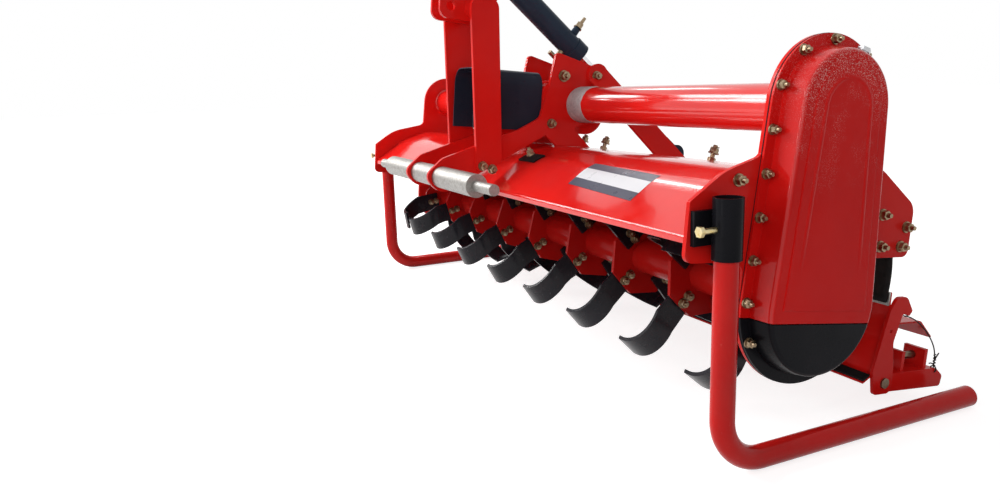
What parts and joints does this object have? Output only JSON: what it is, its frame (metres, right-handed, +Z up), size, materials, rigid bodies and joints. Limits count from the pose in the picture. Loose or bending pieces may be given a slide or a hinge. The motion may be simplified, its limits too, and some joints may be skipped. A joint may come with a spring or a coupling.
{
  "type": "tractor-mounted rotary tiller",
  "caption": "Side-driven rotary tiller on pipe stands: bladed rotor under a bent hood, tubular beam, chain case, headstock with mast, and a hinged rear board lifted by a cylinder.",
  "frame": {"origin": "middle of the machine's footprint on the floor it is parked on", "axes": "+X to the machine's left, where the chain case is; +Y to the rear, away from the tractor; +Z up"},
  "size_m": [2.15, 0.9584, 1.1279],
  "materials": {
    "red_paint": "gloss orange-red paint",
    "black_paint": "satin black paint",
    "blade_black": "black dipped forging",
    "yellow_zinc": "yellow zinc",
    "chrome_rod": "hard chrome",
    "black_rubber": "matt rubber sheet",
    "bare_steel": "bare steel"
  },
  "bodies": {
    "frame": {"side_plate_left": "red_paint", "side_plate_right": "red_paint", "main_beam_left": "red_paint", "main_beam_right": "red_paint", "hood": "red_paint", "gearbox": "red_paint", "headstock_plate_left": "red_paint", "headstock_plate_right": "red_paint", "brace_left": "red_paint", "brace_right": "red_paint", "mast_plate_left": "red_paint", "mast_plate_right": "red_paint", "mast_head": "red_paint", "hitch_bar": "bare_steel", "pto_guard": "black_paint", "chain_case": "red_paint", "chain_case_shoe": "black_paint", "filler_plug": "bare_steel", "bearing_hub_cover": "black_paint", "stand_socket_left": "black_paint", "stand_socket_right": "black_paint", "socket_screws": "yellow_zinc", "rubber_apron": "black_rubber", "board_hinge_lugs": "red_paint", "hood_tie_rods": "yellow_zinc"},
    "rotor": {"rotor_shaft": "red_paint", "rotor_blades": "blade_black"},
    "pto_input": {"pto_shaft": "bare_steel"},
    "rear_board": {"rear_board": "red_paint", "board_cheek_left": "red_paint", "board_cheek_right": "red_paint", "board_hinge_arms": "red_paint", "lift_lever": "red_paint", "apron_strip": "bare_steel", "lip_strip": "black_rubber", "wing_left": "red_paint", "wing_right": "red_paint", "wing_pins": "bare_steel", "board_stiffener": "red_paint", "stiffener_posts": "red_paint", "tie_wires": "bare_steel"},
    "cylinder_barrel": {"cylinder_barrel": "black_paint", "cylinder_port": "yellow_zinc"},
    "cylinder_rod": {"cylinder_rod": "chrome_rod", "rod_link": "black_paint"},
    "stand_left": {"stand_left": "red_paint"},
    "stand_right": {"stand_right": "red_paint"}
  },
  "joints": [
    {"name": "rotor_spin", "type": "hinge", "parent": "frame", "child": "rotor", "pos_m": [0, -0.01584, 0.312], "axis": [1, 0, 0], "continuous": true},
    {"name": "pto_spin", "type": "hinge", "parent": "frame", "child": "pto_input", "pos_m": [0, -0.16759, 0.71842], "axis": [0, 0.9954, -0.0958], "continuous": true},
    {"name": "rear_board_hinge", "type": "hinge", "parent": "frame", "child": "rear_board", "pos_m": [0, 0.33541, 0.47508], "axis": [1, 0, 0], "range_deg": [0, 45]},
    {"name": "cylinder_pivot", "type": "hinge", "parent": "frame", "child": "cylinder_barrel", "pos_m": [0, -0.20777, 1.094], "axis": [1, 0, 0], "range_deg": [0, 0.273]},
    {"name": "cylinder_slide", "type": "slide", "parent": "cylinder_barrel", "child": "cylinder_rod", "axis": [0, -0.7445, 0.6676], "range_m": [0, 0.0819]},
    {"name": "stand_left_slide", "type": "slide", "parent": "frame", "child": "stand_left", "axis": [0, 0, 1], "range_m": [0, 0.085]},
    {"name": "stand_right_slide", "type": "slide", "parent": "frame", "child": "stand_right", "axis": [0, 0, 1], "range_m": [0, 0.085]}
  ],
  "couplings": [
    {"joint": "pto_spin", "follows": "rotor_spin", "ratio": 2.6},
    {"joint": "cylinder_pivot", "follows": "rear_board_hinge", "ratio": 0.00505},
    {"joint": "cylinder_slide", "follows": "rear_board_hinge", "m_per_rad": 0.10227}
  ]
}
